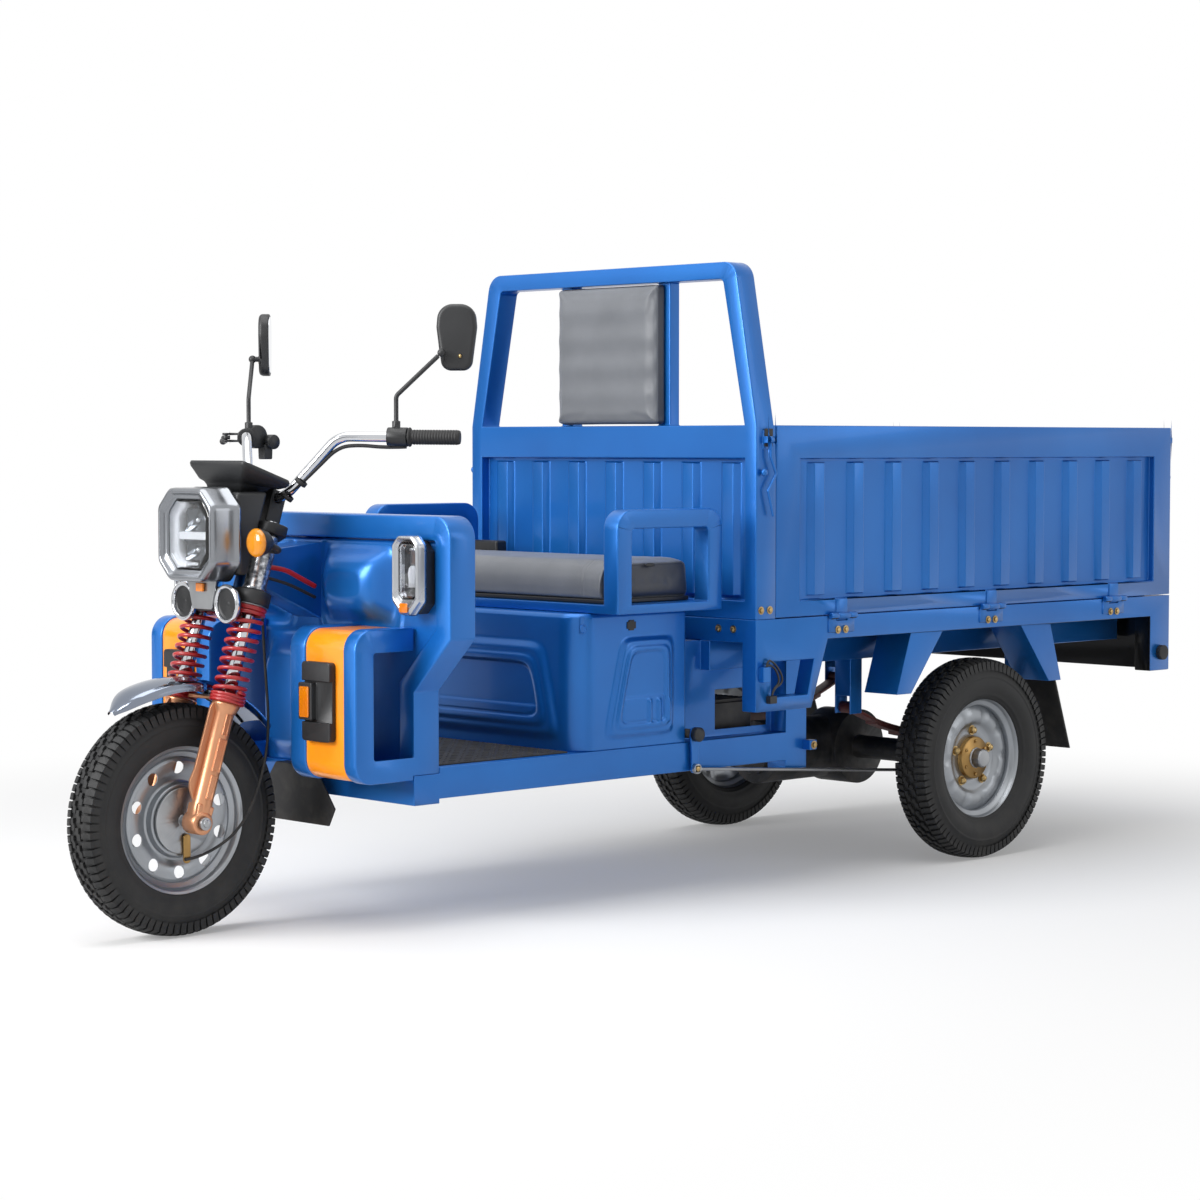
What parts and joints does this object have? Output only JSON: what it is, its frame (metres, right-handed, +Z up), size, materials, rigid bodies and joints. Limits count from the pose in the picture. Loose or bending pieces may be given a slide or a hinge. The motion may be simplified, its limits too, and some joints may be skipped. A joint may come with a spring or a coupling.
{
  "type": "electric cargo tricycle",
  "caption": "Open electric cargo tricycle with a sprung front fork, bench seat, front guard and a cargo bed with drop-down ribbed gates.",
  "frame": {"origin": "on the ground under the middle of the tricycle's overall box", "axes": "+Z up, +Y to the rear of the tricycle, +X to the rider's left"},
  "size_m": [1.042, 3.2074, 1.482],
  "materials": {
    "blue_paint": "glossy metallic paint",
    "orange_plastic": "glossy",
    "black_plastic": "satin",
    "amber_lens": "ribbed, clear gloss",
    "silver_trim": "satin silver",
    "clear_lens": "clear",
    "red_lens": "glossy",
    "black_rubber": "matte",
    "tyre_rubber": "matte, block tread",
    "grey_leather": "satin, stitched",
    "silver_rim": "silver paint",
    "chrome": "polished",
    "copper_finish": "bronze lacquer",
    "red_spring": "glossy",
    "black_steel": "satin black",
    "plain_steel": "plain",
    "gold_steel": "passivated zinc",
    "brown_steel": "primer red-brown"
  },
  "bodies": {
    "chassis": {"chassis_frame": "blue_paint", "front_guard": "blue_paint", "front_panel": "blue_paint", "bumper_trims": "orange_plastic", "lamp_cases": "black_plastic", "amber_markers": "amber_lens", "side_lamp_bezels": "silver_trim", "side_lamp_lenses": "clear_lens", "floor_mat": "black_rubber", "rubber_flaps": "black_rubber", "seat_box": "blue_paint", "battery_pack": "black_plastic", "controller": "black_plastic", "backrest_cushion": "grey_leather", "headboard": "blue_paint", "bed_frame": "blue_paint", "rear_fenders": "blue_paint", "tail_lamps": "red_lens", "leaf_springs": "brown_steel"},
    "seat_lid": {"seat_tray": "blue_paint", "seat_cushion": "grey_leather"},
    "fork": {"fork_yokes": "black_steel", "fork_tubes": "chrome", "fork_springs": "red_spring", "handlebar": "chrome", "left_grip": "black_rubber", "bar_controls": "black_plastic", "dashboard": "black_plastic", "headlamp_case": "black_plastic", "headlamp_bezel": "silver_trim", "headlamp_lens": "clear_lens", "indicator_stalks": "black_plastic", "indicator_lenses": "amber_lens", "horns": "black_plastic"},
    "lower_fork": {"fork_legs": "copper_finish", "front_axle": "plain_steel", "front_fender": "chrome", "front_brake_cable": "black_rubber"},
    "front_wheel": {"front_rim": "silver_rim", "front_tyre": "tyre_rubber"},
    "front_brake_arm": {"front_brake_arm": "gold_steel"},
    "brake_lever": {"brake_lever": "black_steel"},
    "throttle_grip": {"throttle_grip": "black_rubber"},
    "horn_button": {"horn_button": "black_plastic"},
    "mirror_left": {"mirror_left": "black_plastic"},
    "mirror_right": {"mirror_right": "black_plastic"},
    "rear_axle": {"rear_axle": "black_steel"},
    "rear_wheel_left": {"rear_rim_left": "silver_rim", "rear_tyre_left": "tyre_rubber"},
    "rear_wheel_right": {"rear_rim_right": "silver_rim", "rear_tyre_right": "tyre_rubber"},
    "gate_left": {"gate_left": "blue_paint"},
    "gate_right": {"gate_right": "blue_paint"},
    "tailgate": {"tailgate": "blue_paint"},
    "hook_front_left": {"hook_front_left": "blue_paint"},
    "hook_front_right": {"hook_front_right": "blue_paint"},
    "hook_rear_left": {"hook_rear_left": "blue_paint"},
    "hook_rear_right": {"hook_rear_right": "blue_paint"},
    "brake_shaft": {"brake_shaft": "plain_steel"},
    "brake_rods": {"brake_rods": "plain_steel"}
  },
  "joints": [
    {"name": "steering", "type": "hinge", "parent": "chassis", "child": "fork", "pos_m": [0, -1.15945, 0.7311], "axis": [0, 0.3007, 0.9537], "range_deg": [-40, 40]},
    {"name": "front_suspension", "type": "slide", "parent": "fork", "child": "lower_fork", "axis": [0, 0.3007, 0.9537], "range_m": [0, 0.06], "stiffness_N_per_m": 20000, "springref_m": -0.06, "deforming": ["fork_springs", "front_brake_cable"]},
    {"name": "front_wheel_spin", "type": "hinge", "parent": "lower_fork", "child": "front_wheel", "pos_m": [0, -1.35275, 0.251], "axis": [1, 0, 0], "continuous": true},
    {"name": "front_brake_arm_swing", "type": "hinge", "parent": "lower_fork", "child": "front_brake_arm", "pos_m": [0.041, -1.34875, 0.213], "axis": [1, 0, 0], "range_deg": [0, 14]},
    {"name": "brake_lever_pull", "type": "hinge", "parent": "fork", "child": "brake_lever", "pos_m": [-0.2917, -0.99035, 1.0711], "axis": [0, 0, -1], "range_deg": [0, 14], "stiffness_Nm_per_rad": 1.5, "springref_deg": -10.03},
    {"name": "throttle_twist", "type": "hinge", "parent": "fork", "child": "throttle_grip", "pos_m": [-0.336, -0.89975, 1.0704], "axis": [-0.8004, 0.5994, -0.0074], "range_deg": [0, 60], "stiffness_Nm_per_rad": 0.3, "springref_deg": -14.9},
    {"name": "horn_button_press", "type": "slide", "parent": "fork", "child": "horn_button", "axis": [0.5994, -0.8004, 0], "range_m": [0, 0.0025], "stiffness_N_per_m": 800, "springref_m": -0.002},
    {"name": "mirror_left_turn", "type": "hinge", "parent": "fork", "child": "mirror_left", "pos_m": [0.337, -0.87975, 1.253], "axis": [0, 0, 1], "range_deg": [-20, 20]},
    {"name": "mirror_right_turn", "type": "hinge", "parent": "fork", "child": "mirror_right", "pos_m": [-0.337, -0.87975, 1.253], "axis": [0, 0, -1], "range_deg": [-20, 20]},
    {"name": "rear_suspension", "type": "slide", "parent": "chassis", "child": "rear_axle", "axis": [0, 0, 1], "range_m": [0, 0.035], "stiffness_N_per_m": 60000, "springref_m": -0.04, "deforming": ["leaf_springs"]},
    {"name": "rear_wheel_left_spin", "type": "hinge", "parent": "rear_axle", "child": "rear_wheel_left", "pos_m": [0.442, 0.81325, 0.256], "axis": [1, 0, 0], "continuous": true},
    {"name": "rear_wheel_right_spin", "type": "hinge", "parent": "rear_axle", "child": "rear_wheel_right", "pos_m": [-0.442, 0.81325, 0.256], "axis": [1, 0, 0], "continuous": true},
    {"name": "gate_left_fold", "type": "hinge", "parent": "chassis", "child": "gate_left", "pos_m": [0.5085, 0.79725, 0.646], "axis": [0, 1, 0], "range_deg": [0, 175]},
    {"name": "gate_right_fold", "type": "hinge", "parent": "chassis", "child": "gate_right", "pos_m": [-0.5085, 0.79725, 0.646], "axis": [0, -1, 0], "range_deg": [0, 175]},
    {"name": "tailgate_fold", "type": "hinge", "parent": "chassis", "child": "tailgate", "pos_m": [0, 1.59575, 0.646], "axis": [-1, 0, 0], "range_deg": [0, 175]},
    {"name": "hook_front_left_swing", "type": "hinge", "parent": "chassis", "child": "hook_front_left", "pos_m": [0.513, -0.02275, 1.066], "axis": [0, -1, 0], "range_deg": [0, 100]},
    {"name": "hook_front_right_swing", "type": "hinge", "parent": "chassis", "child": "hook_front_right", "pos_m": [-0.513, -0.02275, 1.066], "axis": [0, 1, 0], "range_deg": [0, 100]},
    {"name": "hook_rear_left_swing", "type": "hinge", "parent": "gate_left", "child": "hook_rear_left", "pos_m": [0.481, 1.59475, 1.066], "axis": [1, 0, 0], "range_deg": [0, 100]},
    {"name": "hook_rear_right_swing", "type": "hinge", "parent": "gate_right", "child": "hook_rear_right", "pos_m": [-0.481, 1.59475, 1.066], "axis": [1, 0, 0], "range_deg": [0, 100]},
    {"name": "seat_lid_lift", "type": "hinge", "parent": "chassis", "child": "seat_lid", "pos_m": [0, -0.11975, 0.6724], "axis": [-1, 0, 0], "range_deg": [0, 12]},
    {"name": "brake_shaft_turn", "type": "hinge", "parent": "chassis", "child": "brake_shaft", "pos_m": [0, -0.13875, 0.377], "axis": [1, 0, 0], "range_deg": [-16, 0], "stiffness_Nm_per_rad": 8, "springref_deg": 12.03},
    {"name": "brake_rod_pull", "type": "slide", "parent": "chassis", "child": "brake_rods", "axis": [0, -0.9966, 0.0823], "range_m": [0, 0.023]}
  ],
  "couplings": [
    {"joint": "front_brake_arm_swing", "follows": "brake_lever_pull", "ratio": 1},
    {"joint": "brake_rod_pull", "follows": "brake_shaft_turn", "m_per_rad": -0.08}
  ]
}
